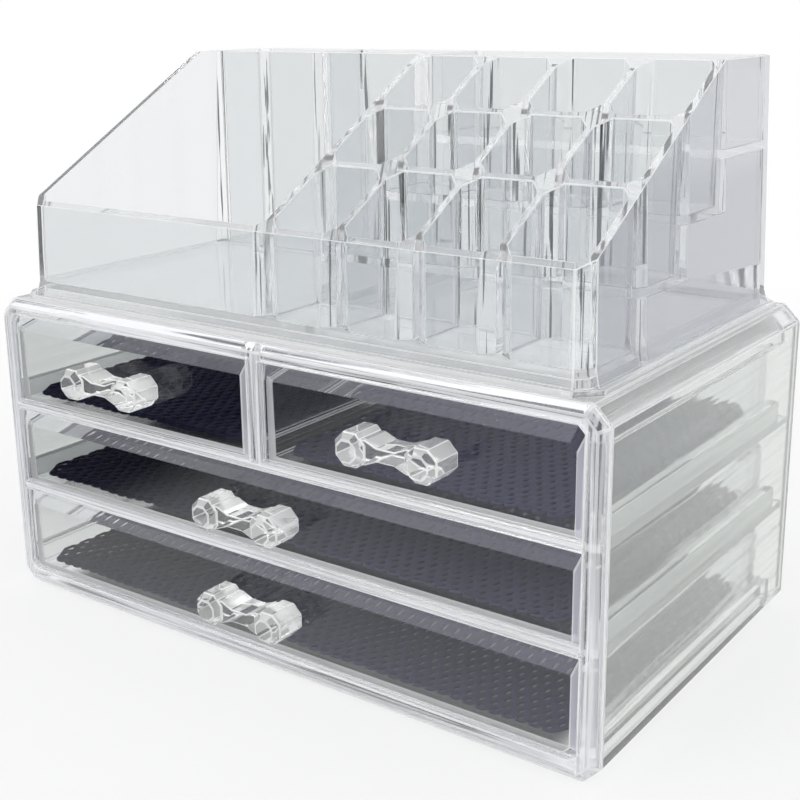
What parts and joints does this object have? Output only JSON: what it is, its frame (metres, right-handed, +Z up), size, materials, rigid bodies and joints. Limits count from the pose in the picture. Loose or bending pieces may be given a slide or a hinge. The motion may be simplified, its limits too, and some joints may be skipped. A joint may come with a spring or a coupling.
{
  "type": "makeup organizer",
  "caption": "Clear tabletop drawer case with faceted handles and mesh liners, under a lift-off tray with stepped lipstick wells and open compartments.",
  "frame": {"origin": "middle of the case's flat underside, on the surface that it stands on", "axes": "+X to the right seen from the front, +Y to the back, +Z up; the drawers pull out along -Y"},
  "size_m": [0.24, 0.1528, 0.1906],
  "materials": {
    "clear_plastic": "polished clear polystyrene",
    "handle_plastic": "polished clear plastic, cut like crystal",
    "liner_mesh": "soft foamed mesh, charcoal"
  },
  "bodies": {
    "case": {"case_sleeve": "clear_plastic", "case_front_frame": "clear_plastic", "case_back_panel": "clear_plastic", "lower_shelf": "clear_plastic", "upper_shelf": "clear_plastic", "centre_divider": "clear_plastic"},
    "upper_left_drawer": {"upper_left_drawer_front": "clear_plastic", "upper_left_drawer_box": "clear_plastic", "upper_left_drawer_handle": "handle_plastic", "upper_left_drawer_liner": "liner_mesh"},
    "upper_right_drawer": {"upper_right_drawer_front": "clear_plastic", "upper_right_drawer_box": "clear_plastic", "upper_right_drawer_handle": "handle_plastic", "upper_right_drawer_liner": "liner_mesh"},
    "middle_drawer": {"middle_drawer_front": "clear_plastic", "middle_drawer_box": "clear_plastic", "middle_drawer_handle": "handle_plastic", "middle_drawer_liner": "liner_mesh"},
    "lower_drawer": {"lower_drawer_front": "clear_plastic", "lower_drawer_box": "clear_plastic", "lower_drawer_handle": "handle_plastic", "lower_drawer_liner": "liner_mesh"},
    "tray": {"upper_tray": "clear_plastic"}
  },
  "joints": [
    {"name": "upper_left_drawer_slide", "type": "slide", "parent": "case", "child": "upper_left_drawer", "axis": [0, -1, 0], "range_m": [0, 0.11]},
    {"name": "upper_right_drawer_slide", "type": "slide", "parent": "case", "child": "upper_right_drawer", "axis": [0, -1, 0], "range_m": [0, 0.11]},
    {"name": "middle_drawer_slide", "type": "slide", "parent": "case", "child": "middle_drawer", "axis": [0, -1, 0], "range_m": [0, 0.11]},
    {"name": "lower_drawer_slide", "type": "slide", "parent": "case", "child": "lower_drawer", "axis": [0, -1, 0], "range_m": [0, 0.11]},
    {"name": "tray_lift", "type": "slide", "parent": "case", "child": "tray", "axis": [0, 0, 1], "range_m": [0, 0.08]}
  ]
}
